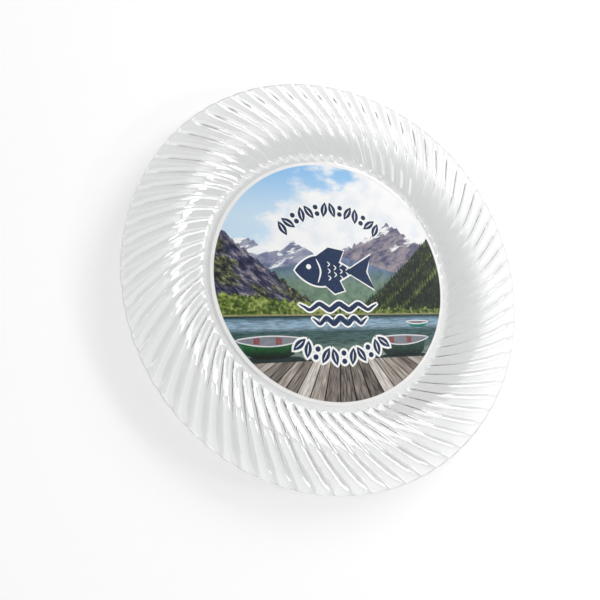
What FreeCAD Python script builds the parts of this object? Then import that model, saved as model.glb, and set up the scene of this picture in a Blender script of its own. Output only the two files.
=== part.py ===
import FreeCAD, Part
import math
import os

V = FreeCAD.Vector
os.makedirs("parts", exist_ok=True)

# A round serving plate moulded in clear polystyrene, with a printed picture stuck to
# the floor of its well. All lengths are in millimetres and all angles in degrees.
# +Z is up. The origin is on the plate's axis, in the plane that the foot ring stands on.
# +Y points to the top edge of the printed picture.

# Plate
PLATE_DIAMETER = 260.0      # over the crests of the scalloped lip
FLOOR_THICKNESS = 1.6
WALL_THICKNESS = 1.9        # square to the wall, at the crest of a flute
WELL_RADIUS = 82.0          # where the flat floor ends and the wall starts to rise
FILLET_RADIUS = 10.7        # from the floor into the wall
WALL_ANGLE = 31.0
SHOULDER_START = 95.0       # radius where the straight wall starts to bend outwards
SHOULDER_RADIUS = 42.0
RIM_ANGLE = 9.7

# Foot ring under the floor
FOOT_HEIGHT = 1.2
FOOT_MID_RADIUS = 78.5
FOOT_WIDTH_TOP = 2.6
FOOT_WIDTH_TIP = 1.6
FOOT_ROOT = 0.4             # how far the ring reaches up into the floor

# Flutes: broad rounded lobes with a narrow crease between neighbours. They leave the
# well as spirals and turn anticlockwise on the way out, seen from above.
FLUTE_COUNT = 72
FLUTE_TURN = 0.84           # radians of turn for each factor of e in radius
FLUTE_PHASE = 3.54          # angle of the first crease where it leaves the well
CREASE_POWER = 3            # higher makes the lobes flatter and the creases narrower
CREASE_DEPTH_FACE = 0.6     # on the upper face
CREASE_DEPTH_BACK = 0.6     # on the underside
CREASE_GROWS_OVER = 6.0     # radial length over which the creases grow from nothing
CREASE_FADES_FROM = 122.0   # radius where they start to get shallower towards the lip
CREASE_FADES_OVER = 5.0
CREASE_LEFT_AT_LIP = 0.5    # share of their depth that is left there
LIP_SCALLOP = 0.2           # how far the lip's outline dips in at each crease

# Printed decal, from the floor upwards
DECAL_RADIUS = 80.9
PRINT_RADIUS = 78.7         # leaves a narrow unprinted border
ADHESIVE_THICKNESS = 0.05
FILM_THICKNESS = 0.10
INK_THICKNESS = 0.04
OVERLAY_THICKNESS = 0.06    # over the ink; it steps down onto the film around the print
INK_EDGE_GAP = 0.3          # between the ink's edge and the step in the overlay

# Control points of each surface patch
POLES_ACROSS = 9            # across one flute
POLES_ALONG = 30            # from the well to the lip
DEGREE = 3

FLOOR_TOP = FOOT_HEIGHT + FLOOR_THICKNESS
LIP_RADIUS = PLATE_DIAMETER / 2 - WALL_THICKNESS / 2
PITCH = 2 * math.pi / FLUTE_COUNT


def smooth_step(x):
    """Rise from 0 to 1 with level ends."""
    x = min(max(x, 0.0), 1.0)
    return x * x * (3 - 2 * x)


def rise(r):
    """Height of the upper face above the well floor, and its slope, at radius r."""
    steep = math.radians(WALL_ANGLE)
    gentle = math.radians(RIM_ANGLE)
    fillet_end = WELL_RADIUS + FILLET_RADIUS * math.sin(steep)
    shoulder_end = SHOULDER_START + SHOULDER_RADIUS * (math.sin(steep) - math.sin(gentle))
    z_fillet = FILLET_RADIUS * (1 - math.cos(steep))
    z_wall = z_fillet + (SHOULDER_START - fillet_end) * math.tan(steep)
    z_shoulder = z_wall + SHOULDER_RADIUS * (math.cos(gentle) - math.cos(steep))
    if r <= WELL_RADIUS:
        return 0.0, 0.0
    if r <= fillet_end:
        a = math.asin((r - WELL_RADIUS) / FILLET_RADIUS)
        return FILLET_RADIUS * (1 - math.cos(a)), math.tan(a)
    if r <= SHOULDER_START:
        return z_fillet + (r - fillet_end) * math.tan(steep), math.tan(steep)
    if r <= shoulder_end:
        a = math.asin(math.sin(steep) - (r - SHOULDER_START) / SHOULDER_RADIUS)
        return z_wall + SHOULDER_RADIUS * (math.cos(a) - math.cos(steep)), math.tan(a)
    return z_shoulder + (r - shoulder_end) * math.tan(gentle), math.tan(gentle)


def crease(r):
    """How much of the full crease depth there is at radius r."""
    grown = smooth_step((r - WELL_RADIUS) / CREASE_GROWS_OVER)
    faded = smooth_step((r - CREASE_FADES_FROM) / CREASE_FADES_OVER)
    return grown * (1 - (1 - CREASE_LEFT_AT_LIP) * faded)


def flute_angle(r):
    """Angle of the first crease at radius r, in radians."""
    return math.radians(FLUTE_PHASE) + FLUTE_TURN * math.log(r / WELL_RADIUS)


def on_plate(across, along, side):
    """A point of the first flute. across runs from -1 to 1 between its two creases,
    along from 0 at the well to 1 at the lip, and side is 0 on the upper face, 1 below."""
    dip = abs(across) ** CREASE_POWER
    reach = LIP_RADIUS - LIP_SCALLOP * dip - WELL_RADIUS
    r = WELL_RADIUS + reach * along
    z, slope = rise(r)
    if side:
        # the wall keeps its thickness square to its slope, and starts as thick as the floor
        growing = smooth_step((r - WELL_RADIUS) / CREASE_GROWS_OVER)
        thick = FLOOR_THICKNESS + (WALL_THICKNESS - FLOOR_THICKNESS) * growing
        z += CREASE_DEPTH_BACK * dip * crease(r) - thick * math.hypot(1, slope)
    else:
        z -= CREASE_DEPTH_FACE * dip * crease(r)
    a = flute_angle(r) + PITCH * (across + 1) / 2
    return V(r * math.cos(a), r * math.sin(a), FLOOR_TOP + z)


def clamped(count):
    """Knots and multiplicities of a clamped uniform spline with this many poles."""
    spans = count - DEGREE
    knots = [i / spans for i in range(spans + 1)]
    return knots, [DEGREE + 1] + [1] * (spans - 1) + [DEGREE + 1]


def patch(grid):
    """A surface patch with the given grid of control points."""
    u_knots, u_mults = clamped(len(grid))
    v_knots, v_mults = clamped(len(grid[0]))
    surface = Part.BSplineSurface()
    surface.buildFromPolesMultsKnots(
        grid, u_mults, v_mults, u_knots, v_knots, False, False, DEGREE, DEGREE)
    return surface.toShape()


def curve(points):
    knots, mults = clamped(len(points))
    line = Part.BSplineCurve()
    line.buildFromPolesMultsKnots(points, mults, knots, False, DEGREE)
    return line.toShape()


def sides():
    return [-1 + 2 * i / (POLES_ACROSS - 1) for i in range(POLES_ACROSS)]


def flute_patches():
    """The upper face, the underside and the rounded lip of one flute."""
    steps = [j / (POLES_ALONG - 1) for j in range(POLES_ALONG)]
    faces = [patch([[on_plate(u, v, s) for v in steps] for u in sides()]) for s in (0, 1)]
    lip = []
    for u in sides():
        top = on_plate(u, 1, 0)
        low = on_plate(u, 1, 1)
        out = V(top.x, top.y, 0).normalize() * (top.z - low.z) * 2 / 3
        lip.append([top, top + out, low + out, low])
    return faces + [patch(lip)]


def ring_copies(shape):
    """One copy of a shape for every flute."""
    axis = V(0, 0, 1)
    copies = []
    for i in range(FLUTE_COUNT):
        copy = shape.copy()
        copy.rotate(V(0, 0, 0), axis, 360.0 * i / FLUTE_COUNT)
        copies.append(copy)
    return copies


def floor_face(side):
    """The flat disc that closes the well floor, above or below."""
    arc = curve([on_plate(u, 0, side) for u in sides()])
    return Part.Face(Part.Wire(ring_copies(arc)))


def foot_ring():
    """A tapered ring with a rounded tip, to stand on."""
    half_top = FOOT_WIDTH_TOP / 2
    half_tip = FOOT_WIDTH_TIP / 2
    top = FOOT_HEIGHT + FOOT_ROOT
    corners = [
        V(FOOT_MID_RADIUS - half_top, 0, top),
        V(FOOT_MID_RADIUS - half_tip, 0, 0),
        V(FOOT_MID_RADIUS + half_tip, 0, 0),
        V(FOOT_MID_RADIUS + half_top, 0, top),
    ]
    section = Part.Face(Part.makePolygon(corners + corners[:1]))
    ring = section.revolve(V(0, 0, 0), V(0, 0, 1), 360)
    tip_edges = [e for e in ring.Edges if abs(e.BoundBox.ZMax) < 1e-6]
    return ring.makeFillet(FOOT_WIDTH_TIP / 4, tip_edges)


def plate_body():
    faces = [floor_face(0), floor_face(1)]
    for face in flute_patches():
        faces += ring_copies(face)
    shell = Part.Shell(Part.makeCompound(faces).Faces)
    shell.sewShape()
    solid = Part.Solid(shell)
    if solid.Volume < 0:
        solid.reverse()
    return solid.fuse(foot_ring())


def disc(radius, z, thickness):
    return Part.makeCylinder(radius, thickness, V(0, 0, z))


film_bottom = FLOOR_TOP + ADHESIVE_THICKNESS
ink_bottom = film_bottom + FILM_THICKNESS
overlay = disc(DECAL_RADIUS, ink_bottom, INK_THICKNESS + OVERLAY_THICKNESS)
overlay = overlay.cut(disc(PRINT_RADIUS + INK_EDGE_GAP, ink_bottom, INK_THICKNESS))

nodes = {
    "plate_body": plate_body(),
    "decal_adhesive": disc(DECAL_RADIUS, FLOOR_TOP, ADHESIVE_THICKNESS),
    "decal_film": disc(DECAL_RADIUS, film_bottom, FILM_THICKNESS),
    "decal_print": disc(PRINT_RADIUS, ink_bottom, INK_THICKNESS),
    "decal_overlay": overlay,
}
for name, shape in nodes.items():
    shape.exportStep("parts/" + name + ".step")
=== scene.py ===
import math
import random

import bpy
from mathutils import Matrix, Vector, noise
from mathutils.geometry import delaunay_2d_cdt


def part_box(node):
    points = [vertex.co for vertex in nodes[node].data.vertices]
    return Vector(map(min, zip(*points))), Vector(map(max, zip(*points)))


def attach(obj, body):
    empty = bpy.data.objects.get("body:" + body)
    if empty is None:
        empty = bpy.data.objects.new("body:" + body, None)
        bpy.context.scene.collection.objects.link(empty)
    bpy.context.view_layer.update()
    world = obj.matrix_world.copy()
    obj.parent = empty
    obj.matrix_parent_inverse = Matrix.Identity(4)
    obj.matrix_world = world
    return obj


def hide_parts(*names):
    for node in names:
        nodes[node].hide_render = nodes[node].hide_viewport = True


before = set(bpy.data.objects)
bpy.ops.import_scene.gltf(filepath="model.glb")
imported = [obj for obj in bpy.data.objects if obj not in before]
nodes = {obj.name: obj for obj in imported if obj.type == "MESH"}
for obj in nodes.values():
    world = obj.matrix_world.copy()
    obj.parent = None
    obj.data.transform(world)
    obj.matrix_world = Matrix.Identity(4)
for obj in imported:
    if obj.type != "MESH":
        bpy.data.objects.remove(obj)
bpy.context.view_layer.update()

# A round clear plastic plate with a fluted rim and a printed lake picture on the floor of
# its well. The plate lies on a white table. Shapes are worked out in millimetres and
# turned into metres by MM. The picture is a flat mosaic of regions, each with its own ink.
# +Z is up out of the well, and +Y is up in the picture.

MM = 0.001

# ---------------------------------------------------------------- the moulded plate

PLATE_RADIUS = 130.0
WELL_RADIUS = 82.0
FLOOR_BOTTOM = 1.2
FLOOR_THICKNESS = 1.6
WALL_THICKNESS = 1.9
# Centre of the half-round lip at a crest. The 0.05 keeps this fine mesh inside the CAD's box.
LIP_RADIUS = PLATE_RADIUS - WALL_THICKNESS / 2 - 0.05
FILLET_RADIUS = 10.7
WALL_SLOPE = math.radians(31.0)
SHOULDER_START = 95.0
SHOULDER_RADIUS = 42.0
RIM_SLOPE = math.radians(9.7)

FLUTE_COUNT = 72
FLUTE_TURN = 0.84
FLUTE_PHASE = math.radians(3.54)
CREASE_POWER = 3
CREASE_DEPTH = 0.6
CREASE_GROWS_OVER = 6.0
CREASE_FADES_FROM = 122.0
CREASE_FADES_OVER = 5.0
CREASE_LEFT_AT_LIP = 0.5
LIP_SCALLOP = 0.2

ACROSS_FLUTE = 10     # faces
ALONG_FLUTE = 42
LIP_STEPS = 6
SHARP_ANGLE = math.radians(14)

PRINT_RADIUS = 78.7
CIRCLE_STEPS = 240
LAYER_GAP = 0.004     # between the decal's layers, so that no two faces lie in one plane

# Radius and height of the foot ring's outline, from outside to inside.
FOOT = ((79.8, 1.2), (79.66, 1.0), (79.38, 0.24), (79.24, 0.06), (79.0, 0.0),
        (78.0, 0.0), (77.76, 0.06), (77.62, 0.24), (77.34, 1.0), (77.2, 1.2))


def smooth_step(x):
    x = min(max(x, 0.0), 1.0)
    return x * x * (3 - 2 * x)


def rise(r):
    """Height of the upper face above the well floor, and its slope, at radius r."""
    fillet_end = WELL_RADIUS + FILLET_RADIUS * math.sin(WALL_SLOPE)
    bend = SHOULDER_RADIUS * (math.sin(WALL_SLOPE) - math.sin(RIM_SLOPE))
    z_fillet = FILLET_RADIUS * (1 - math.cos(WALL_SLOPE))
    z_wall = z_fillet + (SHOULDER_START - fillet_end) * math.tan(WALL_SLOPE)
    z_shoulder = z_wall + SHOULDER_RADIUS * (math.cos(RIM_SLOPE) - math.cos(WALL_SLOPE))
    if r <= WELL_RADIUS:
        return 0.0, 0.0
    if r <= fillet_end:
        a = math.asin((r - WELL_RADIUS) / FILLET_RADIUS)
        return FILLET_RADIUS * (1 - math.cos(a)), math.tan(a)
    if r <= SHOULDER_START:
        return z_fillet + (r - fillet_end) * math.tan(WALL_SLOPE), math.tan(WALL_SLOPE)
    if r <= SHOULDER_START + bend:
        a = math.asin(math.sin(WALL_SLOPE) - (r - SHOULDER_START) / SHOULDER_RADIUS)
        return z_wall + SHOULDER_RADIUS * (math.cos(a) - math.cos(WALL_SLOPE)), math.tan(a)
    return z_shoulder + (r - SHOULDER_START - bend) * math.tan(RIM_SLOPE), math.tan(RIM_SLOPE)


def wall_point(across, turn, along, side):
    """A point of the fluted wall: side 0 is the upper face and 1 the underside."""
    dip = abs(across) ** CREASE_POWER
    r = WELL_RADIUS + (LIP_RADIUS - LIP_SCALLOP * dip - WELL_RADIUS) * along
    z, slope = rise(r)
    grown = smooth_step((r - WELL_RADIUS) / CREASE_GROWS_OVER)
    faded = smooth_step((r - CREASE_FADES_FROM) / CREASE_FADES_OVER)
    depth = CREASE_DEPTH * dip * grown * (1 - (1 - CREASE_LEFT_AT_LIP) * faded)
    if side:
        thick = FLOOR_THICKNESS + (WALL_THICKNESS - FLOOR_THICKNESS) * grown
        z += depth - thick * math.hypot(1, slope)
    else:
        z -= depth
    a = turn + FLUTE_TURN * math.log(r / WELL_RADIUS)
    return Vector((r * math.cos(a), r * math.sin(a), FLOOR_BOTTOM + FLOOR_THICKNESS + z))


def lip_point(across, turn, share):
    """A point of the half-round lip: share runs from 0 at the top to 1 underneath."""
    top = wall_point(across, turn, 1, 0)
    low = wall_point(across, turn, 1, 1)
    out = Vector((top.x, top.y, 0)).normalized() * (top.z - low.z) / 2
    middle = (top + low) / 2
    return middle + (top - middle) * math.cos(share * math.pi) + out * math.sin(share * math.pi)


def plate_rings():
    """Rings of points, from the well floor over the lip and back to the foot ring."""
    count = FLUTE_COUNT * ACROSS_FLUTE
    around = [(2 * (k % ACROSS_FLUTE) / ACROSS_FLUTE - 1, FLUTE_PHASE + 2 * math.pi * k / count)
              for k in range(count)]
    steps = [j / ALONG_FLUTE for j in range(ALONG_FLUTE + 1)]
    for v in steps:
        yield [wall_point(u, a, v, 0) for u, a in around]
    for j in range(1, LIP_STEPS):
        yield [lip_point(u, a, j / LIP_STEPS) for u, a in around]
    for v in reversed(steps):
        yield [wall_point(u, a, v, 1) for u, a in around]
    for r, z in FOOT:
        yield [Vector((r * math.cos(a), r * math.sin(a), z)) for u, a in around]


def make_object(name, verts, faces):
    """A new object in the scene from its points, in metres, and its faces."""
    mesh = bpy.data.meshes.new(name)
    mesh.from_pydata(verts, [], faces)
    mesh.validate()
    obj = bpy.data.objects.new(name, mesh)
    bpy.context.scene.collection.objects.link(obj)
    return obj


def make_turned(name, profile):
    """A round piece from its profile of (radius, height), from underneath to the top."""
    verts, faces = [], []
    count = CIRCLE_STEPS
    for r, z in profile:
        for k in range(count):
            a = 2 * math.pi * k / count
            verts.append((r * math.cos(a) * MM, r * math.sin(a) * MM, z * MM))
    for j in range(len(profile) - 1):
        a, b = j * count, (j + 1) * count
        faces += [(a + k, a + (k + 1) % count, b + (k + 1) % count, b + k) for k in range(count)]
    last = (len(profile) - 1) * count
    faces.append(tuple(reversed(range(count))))
    faces.append(tuple(range(last, last + count)))
    return make_object(name, verts, faces)


def make_plate():
    """The whole plate as one closed skin, smooth but for the creases between the flutes."""
    verts, faces = [], []
    rings = list(plate_rings())
    count = len(rings[0])
    for ring in rings:
        verts += [p * MM for p in ring]
    for j in range(len(rings) - 1):
        a, b = j * count, (j + 1) * count
        faces += [(a + k, b + k, b + (k + 1) % count, a + (k + 1) % count) for k in range(count)]
    last = (len(rings) - 1) * count
    faces.append(tuple(range(count)))
    faces.append(tuple(last + k for k in reversed(range(count))))
    plate = make_object("plate", verts, faces)
    for face in plate.data.polygons:
        face.use_smooth = True
    plate.data.set_sharp_from_angle(angle=SHARP_ANGLE)
    return plate


# ---------------------------------------------------------------- inks and other finishes

SHORE = -25.0               # height of the far shore in the picture
DOCK_EDGE = -53.0           # height of the dock's far edge
VANISHING_HEIGHT = -22.0    # height of the point that the dock's boards run towards
BOARD_FAN = 0.19            # width of a board over its distance below that point
EDGE = 84.0                 # anything beyond the print's radius


def ink(r, g, b):
    """Linear colour from 0 to 255 screen values."""
    def linear(c):
        c /= 255
        return c / 12.92 if c <= 0.04045 else ((c + 0.055) / 1.055) ** 2.4
    return (linear(r), linear(g), linear(b), 1.0)


class Finish:
    """A node material. Lengths in its patterns are in millimetres."""

    def __init__(self, name, roughness=0.35, specular=0.15):
        self.mat = bpy.data.materials.new(name)
        self.mat.use_nodes = True
        self.tree = self.mat.node_tree
        self.shader = self.tree.nodes["Principled BSDF"]
        self.shader.inputs["Roughness"].default_value = roughness
        self.shader.inputs["Specular IOR Level"].default_value = specular
        place = self.node("ShaderNodeTexCoord").outputs["Object"]
        self.place = self.vector("SCALE", place, scale=1 / MM)
        split = self.node("ShaderNodeSeparateXYZ")
        self.link(self.place, split.inputs[0])
        self.x, self.y = split.outputs[0], split.outputs[1]

    def node(self, kind):
        return self.tree.nodes.new(kind)

    def link(self, value, socket):
        if isinstance(value, bpy.types.NodeSocket):
            self.tree.links.new(value, socket)
        else:
            socket.default_value = value

    def vector(self, operation, a, b=None, scale=None):
        n = self.node("ShaderNodeVectorMath")
        n.operation = operation
        self.link(a, n.inputs[0])
        if b is not None:
            self.link(b, n.inputs[1])
        if scale is not None:
            self.link(scale, n.inputs["Scale"])
        return n.outputs[0]

    def math(self, operation, a, b=0.0):
        n = self.node("ShaderNodeMath")
        n.operation = operation
        self.link(a, n.inputs[0])
        self.link(b, n.inputs[1])
        return n.outputs[0]

    def span(self, value, low, high, to_low=0.0, to_high=1.0, soft=True):
        """value's place between low and high, held at the ends."""
        n = self.node("ShaderNodeMapRange")
        n.interpolation_type = "SMOOTHSTEP" if soft else "LINEAR"
        for socket, v in zip(n.inputs, (value, low, high, to_low, to_high)):
            self.link(v, socket)
        return n.outputs[0]

    def noise(self, size, detail=4.0, roughness=0.55, stretch=(1, 1), shift=0.0, turn=0.0):
        """Noise whose blobs are about size across, times stretch along x and y."""
        m = self.node("ShaderNodeMapping")
        m.vector_type = "TEXTURE"
        self.link(self.place, m.inputs[0])
        m.inputs["Location"].default_value = (shift * 37.0, shift * 91.0, 0)
        m.inputs["Rotation"].default_value = (0, 0, math.radians(turn))
        m.inputs["Scale"].default_value = (size * stretch[0], size * stretch[1], size)
        n = self.node("ShaderNodeTexNoise")
        self.link(m.outputs[0], n.inputs["Vector"])
        n.inputs["Scale"].default_value = 1.0
        n.inputs["Detail"].default_value = detail
        n.inputs["Roughness"].default_value = roughness
        return n.outputs[0]

    def ramp(self, value, *stops):
        """Colour from stops of (position, colour)."""
        n = self.node("ShaderNodeValToRGB")
        elements = n.color_ramp.elements
        while len(elements) < len(stops):
            elements.new(0.5)
        for element, (position, colour) in zip(elements, stops):
            element.position = position
            element.color = colour
        self.link(value, n.inputs[0])
        return n.outputs[0]

    def mix(self, share, a, b, kind="MIX"):
        n = self.node("ShaderNodeMix")
        n.data_type = "RGBA"
        n.blend_type = kind
        for socket, v in ((n.inputs[0], share), (n.inputs[6], a), (n.inputs[7], b)):
            self.link(v, socket)
        return n.outputs[2]

    def speckled(self, colour, size=1.5, depth=0.12):
        """The colour, a little darker and lighter in blobs."""
        shade = self.span(self.noise(size), 0.3, 0.7, 1 - depth, 1 + depth)
        return self.mix(1.0, colour, shade, "MULTIPLY")

    def done(self, colour, grain=0.06):
        """Sets the colour, with fine differences in gloss."""
        self.link(colour, self.shader.inputs["Base Color"])
        rough = self.shader.inputs["Roughness"]
        base = rough.default_value
        self.link(self.span(self.noise(0.9, 3.0), 0.3, 0.7, base - grain, base + grain), rough)
        return self.mat


def sky():
    """Blue at the upper left and white cloud elsewhere."""
    f = Finish("ink_sky")
    blue = f.ramp(f.span(f.y, 35, 78), (0, ink(206, 230, 248)), (1, ink(148, 200, 244)))
    puffs = f.noise(30, 7, 0.62, stretch=(1.3, 0.8), shift=3.0)
    left_top = f.math("ADD", f.math("MULTIPLY", f.x, -0.0062), f.math("MULTIPLY", f.y, 0.0062))
    cover = f.math("SUBTRACT", puffs, left_top)
    share = f.span(cover, -0.03, 0.15)
    white = f.ramp(f.noise(12, 5, shift=7.0), (0.3, ink(236, 242, 248)),
                   (0.55, ink(255, 255, 255)))
    return f.done(f.mix(share, blue, white))


def snowy_rock(name, dark, light, snow, shift, snowline):
    """Rock with drifts of snow that grow more common above the snowline."""
    f = Finish(name)
    rock = f.ramp(f.noise(5, 6, 0.7, (1.8, 0.8), shift, 28), (0.38, dark), (0.6, light))
    drift = f.noise(9, 6, 0.62, (2.0, 0.7), shift + 2, 24)
    high = f.span(f.y, snowline - 14, snowline + 14, -0.12, 0.10, soft=False)
    share = f.span(f.math("ADD", drift, high), 0.5, 0.56)
    return f.done(f.mix(share, rock, snow))


def haze():
    """The hazy valley between the slopes."""
    f = Finish("ink_haze")
    base = f.ramp(f.span(f.y, -8, 18), (0, ink(112, 138, 118)), (0.5, ink(98, 122, 145)),
                  (1, ink(112, 124, 158)))
    return f.done(f.speckled(base, 4, 0.25))


def woods(name, dark, middle, light, size, stretch, shift):
    """Foliage: crowns about size across, in larger patches of light and dark."""
    f = Finish(name, 0.4)
    crowns = f.noise(size, 5, 0.7, stretch, shift)
    patches = f.noise(size * 5, 3, 0.5, (1, 1), shift + 4)
    both = f.math("ADD", f.math("MULTIPLY", crowns, 0.72), f.math("MULTIPLY", patches, 0.28))
    return f.done(f.ramp(both, (0.40, dark), (0.5, middle), (0.62, light)))


def cliff_woods():
    """A steep slope of bare rock and trees, with a grain that runs down to the right."""
    f = Finish("ink_cliff", 0.4)
    crowns = f.noise(3.0, 8, 0.78, (1.5, 0.9), 5.0, -38)
    trees = f.ramp(crowns, (0.42, ink(14, 20, 38)), (0.49, ink(50, 58, 54)),
                   (0.55, ink(100, 106, 60)), (0.63, ink(196, 186, 140)))
    bare = f.ramp(f.noise(4, 8, 0.75, (2.0, 0.7), 8.0, -42), (0.40, ink(16, 20, 44)),
                  (0.5, ink(58, 62, 96)), (0.61, ink(170, 160, 164)))
    share = f.span(f.noise(20, 4, 0.6, (1.4, 0.8), 2.0, -40), 0.42, 0.56)
    return f.done(f.mix(share, trees, bare))


def water():
    """Rippled water, dark under the far shore, then pale, then green."""
    f = Finish("ink_water", 0.3)
    tone = f.ramp(f.span(f.y, -49, SHORE, soft=False),
                  (0.0, ink(116, 136, 128)), (0.30, ink(70, 98, 94)), (0.58, ink(60, 90, 92)),
                  (0.70, ink(142, 168, 186)), (0.86, ink(128, 158, 178)), (0.95, ink(44, 76, 84)),
                  (1.0, ink(34, 52, 50)))
    ripples = f.noise(0.8, 5, 0.65, (8, 1), 1.0)
    return f.done(f.mix(1.0, tone, f.span(ripples, 0.35, 0.65, 0.6, 1.4), "MULTIPLY"))


def planks():
    """Boards that run away from the viewer, towards a point on the far shore."""
    f = Finish("ink_dock", 0.4)
    fan = f.math("DIVIDE", f.x, f.math("SUBTRACT", f.y, VANISHING_HEIGHT))
    row = f.math("ADD", f.math("DIVIDE", fan, BOARD_FAN), 40.5)    # the half centres a board
    tone = f.node("ShaderNodeTexWhiteNoise")
    tone.noise_dimensions = "1D"
    f.link(f.math("FLOOR", row), tone.inputs["W"])
    grain_at = f.node("ShaderNodeCombineXYZ")
    f.link(f.math("MULTIPLY", row, 9.0), grain_at.inputs[0])
    f.link(f.math("MULTIPLY", f.y, 0.12), grain_at.inputs[1])
    grain = f.node("ShaderNodeTexNoise")
    f.link(grain_at.outputs[0], grain.inputs["Vector"])
    grain.inputs["Scale"].default_value = 1.0
    grain.inputs["Detail"].default_value = 5.0
    lightness = f.math("ADD", f.math("MULTIPLY", tone.outputs[0], 0.35),
                       f.math("MULTIPLY", grain.outputs[0], 0.75))
    wood = f.ramp(lightness, (0.34, ink(66, 58, 56)), (0.55, ink(156, 146, 136)),
                  (0.76, ink(232, 226, 218)))
    edge = f.math("ABSOLUTE", f.math("SUBTRACT", f.math("FRACT", row), 0.5))
    return f.done(f.mix(f.span(edge, 0.425, 0.475), wood, ink(26, 20, 20)))


def hull(name, top, low, y_top, y_low):
    """Boat paint that darkens towards the water."""
    f = Finish(name, 0.3)
    tone = f.ramp(f.span(f.y, y_low, y_top), (0, low), (1, top))
    return f.done(f.speckled(tone, 3, 0.18))


def flat_ink(name, colour, depth=0.05):
    """One colour, slightly uneven."""
    f = Finish(name)
    return f.done(f.speckled(colour, 2.0, depth))


# ---------------------------------------------------------------- outlines of the picture


def smooth(points, per=6, closed=True):
    """A soft curve through the points."""
    n = len(points)
    out = []
    for i in range(n if closed else n - 1):
        if closed:
            a, b, c, d = (Vector(points[(i + k) % n]) for k in (-1, 0, 1, 2))
        else:
            a, b, c, d = (Vector(points[min(max(i + k, 0), n - 1)]) for k in (-1, 0, 1, 2))
        for s in range(per):
            t = s / per
            out.append((b * 2 + (c - a) * t + (a * 2 - b * 5 + c * 4 - d) * t * t
                        + (b * 3 - a - c * 3 + d) * t * t * t) / 2)
    return out if closed else out + [Vector(points[-1])]


def rough_line(x_start, x_end, height, size, seed, pitch=0.8):
    """A line from left to right whose height is height(x), broken up by about size."""
    count = int((x_end - x_start) / pitch)
    xs = [x_start + (x_end - x_start) * k / count for k in range(count + 1)]
    return [Vector((x, height(x) + size * noise.fractal(Vector((x * 0.35, seed, 0)), 0.8, 2.1, 4)))
            for x in xs]


def peaks(base, height, spacing, seed):
    """Heights of a range with sharp tops about that far apart."""
    def at(x):
        return base + height * (1 - 2.2 * abs(noise.noise(Vector((x / spacing, seed, 0)))))
    return at


def slope(foot_x, top_x, foot, top, curve):
    """Heights of a hillside that climbs from its foot, faster towards the top."""
    def at(x):
        share = min(max((x - foot_x) / (top_x - foot_x), 0), 1)
        return foot + (top - foot) * share ** curve
    return at


def tree_line(x_start, x_end, ground, height, width, seed):
    """Pointed trees of mixed heights, on ground whose height is ground(x)."""
    rng = random.Random(seed)
    out = []
    x = x_start
    while x < x_end:
        w = width * rng.uniform(0.7, 1.3)
        base = ground(x)
        tall = height * rng.uniform(0.4, 1.0)
        out += [Vector((x, base)), Vector((x + w * 0.3, base + tall * 0.45)),
                Vector((x + w * 0.5, base + tall)), Vector((x + w * 0.7, base + tall * 0.45))]
        x += w
    return out + [Vector((x, ground(x)))]


def fir_slope(lower, height, width, seed):
    """One row of firs on the right-hand hillside, that far below the top row."""
    start = 10 + lower * 1.2
    ground = slope(start, EDGE, SHORE + 3, 40 - lower, 1.2)
    return down_to(tree_line(start, EDGE, ground, height, width, seed), SHORE - 2)


def down_to(line, y):
    """Closes a line from left to right with a straight bottom."""
    return line + [Vector((line[-1].x, y)), Vector((line[0].x, y))]


def level(y, low):
    """Everything across the picture between two heights."""
    return down_to([Vector((-EDGE, y)), Vector((EDGE, y))], low)


def circle(x, y, r, steps=24):
    return [Vector((x + r * math.cos(a), y + r * math.sin(a)))
            for a in (2 * math.pi * k / steps for k in range(steps))]


def circle_squashed(x, y, half_width, half_height):
    return [Vector((x + half_width * p.x, y + half_height * p.y)) for p in circle(0, 0, 1)]


def grown(outline, distance):
    """The outline, moved outwards by that distance."""
    n = len(outline)
    area = sum(outline[i].cross(outline[(i + 1) % n]) for i in range(n))
    side = 1 if area > 0 else -1
    out = []
    for i, p in enumerate(outline):
        along = outline[(i + 1) % n] - outline[i - 1]
        if along.length > 1e-6:
            out.append(p + Vector((along.y, -along.x)).normalized() * distance * side)
    return out


def ribbon(points, width):
    """A line of that width through the points, with pointed ends."""
    line = smooth(points, 5, closed=False)
    left, right = [], []
    for i, p in enumerate(line):
        along = (line[min(i + 1, len(line) - 1)] - line[max(i - 1, 0)]).normalized()
        w = width / 2 * max(0.15, math.sin(math.pi * i / (len(line) - 1)) ** 0.5)
        left.append(p + Vector((-along.y, along.x)) * w)
        right.append(p - Vector((-along.y, along.x)) * w)
    return left + right[::-1]


def leaf(x, y, length, width, turn):
    """A pointed leaf that stands on its stalk end, turned by that many radians."""
    side = [Vector((width / 2 * math.sin(math.pi * k / 10), length * (k / 10 - 0.5)))
            for k in range(11)]
    other = [Vector((-p.x, p.y)) for p in side[-2:0:-1]]
    c, s = math.cos(turn), math.sin(turn)
    return [Vector((x + p.x * c - p.y * s, y + p.x * s + p.y * c)) for p in side + other]


def garland(radius, start, end, count, lean):
    """Leaves and berries in turn along an arc, and the leaves' veins. Angles are in degrees."""
    shapes, veins = [], []
    for k in range(count):
        a = math.radians(start + (end - start) * k / (count - 1))
        x, y = radius * math.cos(a), radius * math.sin(a)
        if k % 3 == 2:
            shapes.append(circle(x * 1.05, y * 1.05, 1.7))
            shapes.append(circle(x * 0.95, y * 0.95, 1.7))
        else:
            turn = a - math.pi / 2 + lean * (1 if k % 3 else -1)
            shapes.append(leaf(x, y, 11.0, 4.8, turn))
            veins.append(leaf(x, y, 7.0, 0.7, turn))
    return shapes, veins


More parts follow.
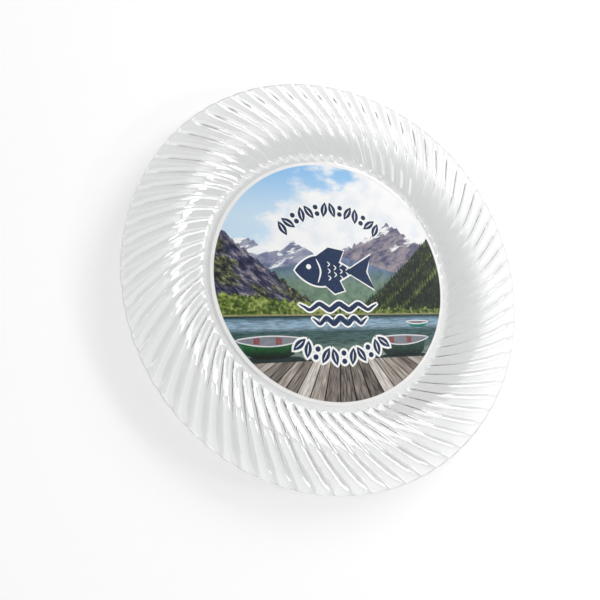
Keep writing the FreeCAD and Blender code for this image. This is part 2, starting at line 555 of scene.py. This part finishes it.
def boat(x, y, length, depth, opening, hull_ink, rim_ink, inside_ink, seat_ink):
    """A plain rowing boat from the side and a little above, with two seats."""
    steps = [k / 10 - 1 for k in range(21)]

    def rim(along, share):
        """share is 0 on the near side and 1 on the far side"""
        lift = depth * 0.45 * along * along
        return Vector((x + along * length / 2, y + lift + share * opening * (1 - along * along)))

    near = [rim(t, 0) for t in steps]
    far = [rim(t, 1) for t in steps]
    keel = [Vector((x + t * length * 0.43,
                    y - depth * math.sqrt(max(0, 1 - t ** 4)) + depth * 0.2 * t * t))
            for t in steps]
    inside = near + far[-2:0:-1]
    parts = [(hull_ink, near + keel[::-1]), (rim_ink, grown(inside, 0.7)), (inside_ink, inside)]
    half = 0.09
    for t in (-0.4, 0.25):
        parts.append((seat_ink, [rim(t - half, 0.1), rim(t + half, 0.1), rim(t + half, 0.9),
                                 rim(t - half, 0.9)]))
    return parts


def emblem():
    """A plain fish pictogram that faces left, over two waves, and its white marks."""
    nose, tail, tall, middle = -28.0, 13.0, 11.0, 4.0
    steps = [k / 24 for k in range(25)]
    back = [Vector((nose + (tail - nose) * t,
                    middle + tall * math.sin(math.pi * t ** 0.85) * (1 - 0.2 * t)))
            for t in steps]
    belly = [Vector((p.x, 2 * middle - p.y)) for p in back]
    shapes = [
        back + belly[-2:0:-1],
        [Vector((tail - 6, middle)), Vector((tail + 14, middle + 12)), Vector((tail + 9, middle)),
         Vector((tail + 14, middle - 12))],
        [Vector((-14, middle + 9)), Vector((-4, middle + 16)), Vector((7, middle + 14)),
         Vector((3, middle + 6))],
        [Vector((-9, middle - 9)), Vector((-2, middle - 15)), Vector((5, middle - 13)),
         Vector((2, middle - 6))],
    ]
    for y, half in ((-19.5, 27.0), (-28.5, 19.0)):
        wave = [(half * (k / 8 - 1), y + 1.9 * math.cos(k * math.pi / 2)) for k in range(17)]
        shapes.append(ribbon(wave, 3.4))
    marks = [circle(-18.5, middle + 2.6, 1.7),
             ribbon([(-13, middle + 8), (-10.5, middle), (-13, middle - 8)], 1.2)]
    for column in range(4):
        for row in range(3 - column % 2):
            x = -4.5 + 4.2 * column
            y = middle + 4.6 * (row - (2 - column % 2) / 2)
            marks.append(ribbon([(x - 1, y + 1.7), (x + 0.6, y), (x - 1, y - 1.7)], 0.8))
    return shapes, marks


def picture():
    """Regions of the picture from back to front, as (ink, outline): a mountain lake."""
    rock_far = snowy_rock("ink_far_peaks", ink(98, 108, 142), ink(168, 172, 190),
                          ink(248, 250, 252), 1.0, 12)
    rock_near = snowy_rock("ink_near_peak", ink(78, 82, 116), ink(166, 156, 162),
                           ink(248, 248, 252), 4.0, 28)
    bush = woods("ink_bushes", ink(30, 46, 20), ink(84, 108, 38), ink(172, 182, 104),
                 2.4, (1, 0.9), 1.0)
    far_firs = woods("ink_far_firs", ink(12, 22, 26), ink(34, 50, 38), ink(92, 108, 60),
                     1.3, (0.6, 2.4), 2.0)
    firs = woods("ink_firs", ink(6, 12, 14), ink(20, 32, 24), ink(64, 82, 42),
                 1.5, (0.6, 2.4), 5.0)
    near_firs = woods("ink_near_firs", ink(24, 38, 20), ink(66, 88, 36), ink(138, 152, 70),
                      1.5, (0.7, 2), 9.0)
    bank = flat_ink("ink_bank", ink(150, 146, 104), 0.2)
    navy = flat_ink("ink_navy", ink(28, 50, 86))
    white = flat_ink("ink_white", ink(252, 252, 250), 0.01)
    pale = flat_ink("ink_gunwale", ink(232, 232, 236))
    inside = flat_ink("ink_boat_inside", ink(132, 136, 144), 0.12)
    green = hull("ink_green_hull", ink(30, 100, 52), ink(8, 24, 18), -41, -50)
    dark_hull = hull("ink_dark_hull", ink(48, 80, 68), ink(12, 16, 18), -42, -54)
    teal = hull("ink_teal_hull", ink(36, 148, 126), ink(30, 96, 86), -31, -34)
    seat = flat_ink("ink_seat", ink(140, 82, 82), 0.2)
    shadow = flat_ink("ink_shadow", ink(34, 50, 50), 0.3)

    far_range = rough_line(-72, 62, peaks(14, 10, 24, 4.6), 1.6, 3)
    near_peak = rough_line(-4, EDGE, lambda x: 39 - 0.62 * abs(x - 43), 3.0, 9)
    valley = rough_line(-60, 60, lambda x: 9 + 5 * math.cos(x / 16), 0.8, 5)
    cliff_top = rough_line(-EDGE, -2, slope(-6, -EDGE, SHORE + 2, 38, 1.15), 3.0, 15)
    left_bushes = rough_line(-EDGE, 6, slope(14, -EDGE, SHORE, -10, 0.6), 3.0, 21)
    right_bushes = rough_line(2, EDGE, lambda x: SHORE + 4, 3.0, 31)
    bank_top = rough_line(-EDGE, EDGE, lambda x: SHORE + 1, 0.7, 33)
    regions = [
        (sky(), circle(0, 0, PRINT_RADIUS, CIRCLE_STEPS)),
        (rock_far, down_to(far_range, SHORE)),
        (rock_near, down_to(near_peak, SHORE)),
        (haze(), down_to(valley, SHORE)),
        (cliff_woods(), down_to(cliff_top, SHORE - 2)),
        (bush, down_to(left_bushes, SHORE - 2)),
        (far_firs, fir_slope(0, 5.0, 1.8, 4)),
        (firs, fir_slope(6, 6.0, 2.0, 11)),
        (near_firs, fir_slope(13, 5.0, 1.8, 12)),
        (firs, fir_slope(15, 7.0, 2.2, 17)),
        (near_firs, fir_slope(26, 6.0, 2.0, 23)),
        (firs, fir_slope(29, 7.0, 2.4, 29)),
        (bush, down_to(right_bushes, SHORE - 2)),
        (bank, down_to(bank_top, SHORE - 2)),
        (water(), level(SHORE, DOCK_EDGE - 2)),
    ]
    regions += boat(56, -31, 17, 2.6, 1.5, teal, pale, inside, seat)
    regions.append((shadow, circle_squashed(-47, -51.5, 21, 2.4)))
    regions += boat(-47, -43, 42, 8, 5.5, green, pale, inside, seat)
    regions.append((shadow, circle_squashed(43, -53, 20, 2.8)))
    regions += boat(43, -44.5, 40, 9, 5.5, dark_hull, pale, inside, seat)
    regions.append((shadow, level(DOCK_EDGE + 0.9, DOCK_EDGE - 1)))
    regions.append((planks(), level(DOCK_EDGE, -EDGE)))
    top_garland = garland(46.5, 137, 46, 14, 0.30)
    low_garland = garland(51.5, -124, -56, 11, 0.30)
    for (shapes, marks), border in ((emblem(), 1.1), (top_garland, 0.9), (low_garland, 1.4)):
        regions += [(white, grown(shape, border)) for shape in shapes]
        regions += [(navy, shape) for shape in shapes]
        regions += [(white, mark) for mark in marks]
    return regions


def make_print(top, bottom):
    """The picture as one closed slab: a mosaic on top, with a plain edge and underside."""
    regions = picture()
    points, faces = [], []
    for _, outline in regions:
        start = len(points)
        n = len(outline)
        turned = sum(outline[i].cross(outline[(i + 1) % n]) for i in range(n)) < 0
        points += outline[::-1] if turned else outline
        faces.append(list(range(start, len(points))))
    found = delaunay_2d_cdt(points, [], faces, 1, 1e-4)
    mats = list(dict.fromkeys(mat for mat, _ in regions))
    verts = [(p.x * MM, p.y * MM, top) for p in found[0]]
    tops, slots = [], []
    for face, owners in zip(found[2], found[5]):
        if 0 in owners:
            tops.append(tuple(face))
            slots.append(mats.index(regions[max(owners)][0]))
    edges = dict.fromkeys(pair for face in tops for pair in zip(face, face[1:] + face[:1]))
    rim = [(a, b) for a, b in edges if (b, a) not in edges]
    base = len(verts)
    low = {}
    for a, b in rim:
        low[a] = base + len(low)
        verts.append((verts[a][0], verts[a][1], bottom))
    sides = [(b, a, low[a], low[b]) for a, b in rim]
    following = dict(rim)
    loop = [rim[0][0]]
    while following[loop[-1]] != loop[0]:
        loop.append(following[loop[-1]])
    under = tuple(low[i] for i in reversed(loop))
    obj = make_object("picture", verts, tops + sides + [under])
    for mat in mats:
        obj.data.materials.append(mat)
    white = mats.index(next(m for m in mats if m.name == "ink_white"))
    for face, slot in zip(obj.data.polygons, slots + [white] * (len(sides) + 1)):
        face.material_index = slot
    return obj


# ---------------------------------------------------------------- finishes of the plate


def clear_plastic():
    """Clear polystyrene, faintly grey, with long shallow waves in its surface."""
    f = Finish("clear_polystyrene", 0.03, 0.5)
    s = f.shader
    s.inputs["Transmission Weight"].default_value = 0.92
    s.inputs["IOR"].default_value = 1.59
    tint = f.ramp(f.noise(40, 3), (0.3, (0.92, 0.925, 0.93, 1)), (0.7, (0.94, 0.945, 0.945, 1)))
    bump = f.node("ShaderNodeBump")
    bump.inputs["Strength"].default_value = 0.04
    bump.inputs["Distance"].default_value = 0.0002
    f.link(f.noise(6, 2, 0.4, (3, 1)), bump.inputs["Height"])
    f.link(bump.outputs[0], s.inputs["Normal"])
    return f.done(tint, 0.012)


def clear_film(name, alpha, roughness, grey):
    """A see-through layer. Alpha is how much it veils what is under it, grey is the veil."""
    f = Finish(name, roughness, 0.5)
    f.shader.inputs["Alpha"].default_value = alpha
    return f.done(f.speckled((grey, grey, grey, 1), 20, 0.04), 0.03)


def white_film():
    """White vinyl, faintly uneven."""
    f = Finish("white_vinyl", 0.35)
    return f.done(f.speckled((0.95, 0.945, 0.935, 1), 6, 0.02))


def dress(obj, mat):
    """Gives the object that material and no other."""
    obj.data.materials.clear()
    obj.data.materials.append(mat)


plate = make_plate()
dress(plate, clear_plastic())
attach(plate, "root")
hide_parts("plate_body")

print_low, print_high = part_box("decal_print")
art = make_print(print_high[2] - LAYER_GAP * MM, print_low[2] + LAYER_GAP * MM)
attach(art, "root")
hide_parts("decal_print")

dress(nodes["decal_film"], white_film())

# The two clear layers, as discs with bevelled edges just inside the film's edge.
film_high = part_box("decal_film")[1]
overlay_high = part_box("decal_overlay")[1]
glue_low, glue_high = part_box("decal_adhesive")
over_film = film_high[2] / MM + LAYER_GAP
over_ink = print_high[2] / MM + LAYER_GAP
overlay_top = overlay_high[2] / MM
overlay_radius = film_high[0] / MM - 0.01
overlay = make_turned("overlay", (
    (PRINT_RADIUS + 0.25, over_ink), (PRINT_RADIUS + 0.35, over_film),
    (overlay_radius - 0.05, over_film), (overlay_radius, over_film + 0.01),
    (overlay_radius, overlay_top - 0.03), (overlay_radius - 0.05, overlay_top)))
dress(overlay, clear_film("clear_overlay", 0.02, 0.12, 0.15))
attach(overlay, "root")
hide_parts("decal_overlay")

glue_floor = glue_low[2] / MM + LAYER_GAP
glue_ceiling = glue_high[2] / MM - LAYER_GAP
glue_radius = film_high[0] / MM - 0.08
glue = make_turned("glue", (
    (glue_radius - 0.04, glue_floor), (glue_radius, glue_floor + 0.01),
    (glue_radius, glue_ceiling - 0.01), (glue_radius - 0.04, glue_ceiling)))
dress(glue, clear_film("clear_adhesive", 0.25, 0.3, 0.9))
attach(glue, "root")
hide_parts("decal_adhesive")

# ---------------------------------------------------------------- table, light and camera

TABLE_RADIUS = 3.0
TABLE_GREY = 0.6
TABLE_GLOW = 0.46     # light of its own, which keeps the table white round the plate
# Height and grey of the backdrop, from 0 at the horizon to 1 overhead.
BACKDROP = ((0.0, 0.75), (0.15, 0.6), (0.4, 0.4), (1.0, 0.4))
LIGHT_DISTANCE = 1.2
CAMERA_PLACE = (-0.1282, -0.0803, 0.2733)
CAMERA_TURN = (14.41, -19.57, -4.92)
FOCAL_LENGTH = 28.8
SENSOR_WIDTH = 36.0

scene = bpy.context.scene
bpy.ops.mesh.primitive_circle_add(vertices=96, radius=TABLE_RADIUS, fill_type="NGON")
table = bpy.context.object
table.name = "table"
paint = Finish("table_white", 0.9)
paint.shader.inputs["Emission Color"].default_value = (1, 1, 1, 1)
paint.shader.inputs["Emission Strength"].default_value = TABLE_GLOW
dress(table, paint.done((TABLE_GREY, TABLE_GREY, TABLE_GREY, 1)))

scene.world = bpy.data.worlds.new("studio")
scene.world.use_nodes = True
studio = scene.world.node_tree
direction = studio.nodes.new("ShaderNodeTexCoord")
split = studio.nodes.new("ShaderNodeSeparateXYZ")
studio.links.new(direction.outputs["Generated"], split.inputs[0])
ramp = studio.nodes.new("ShaderNodeValToRGB")
studio.links.new(split.outputs["Z"], ramp.inputs[0])
stops = ramp.color_ramp.elements
while len(stops) < len(BACKDROP):
    stops.new(0.5)
for stop, (height, grey) in zip(stops, BACKDROP):
    stop.position = height
    stop.color = (grey, grey, grey, 1)
studio.links.new(ramp.outputs[0], studio.nodes["Background"].inputs[0])
studio.nodes["Background"].inputs[1].default_value = 1.0


def softbox(name, azimuth, elevation, size, brightness):
    """A round softbox that faces the plate. Angles in degrees; brightness 1 looks white."""
    data = bpy.data.lights.new(name, "AREA")
    data.shape = "DISK"
    data.size = size
    data.energy = brightness * math.pi * math.pi * size * size / 4
    light = bpy.data.objects.new(name, data)
    scene.collection.objects.link(light)
    a, e = math.radians(azimuth), math.radians(elevation)
    towards = Vector((math.cos(a) * math.cos(e), math.sin(a) * math.cos(e), math.sin(e)))
    light.location = towards * LIGHT_DISTANCE
    light.rotation_euler = (-towards).to_track_quat("-Z", "Y").to_euler()


softbox("key", 48, 36, 0.7, 5.0)
softbox("top", 15, 62, 0.55, 1.6)
softbox("front", 250, 65, 0.4, 3.0)
softbox("side_right", 345, 35, 0.18, 25.0)
softbox("streak", 20, 42, 0.2, 16.0)

lens = bpy.data.cameras.new("camera")
lens.lens = FOCAL_LENGTH
lens.sensor_width = SENSOR_WIDTH
camera = bpy.data.objects.new("camera", lens)
scene.collection.objects.link(camera)
camera.location = CAMERA_PLACE
camera.rotation_euler = [math.radians(a) for a in CAMERA_TURN]
scene.camera = camera
scene.view_settings.view_transform = "Standard"
scene.cycles.use_denoising = True
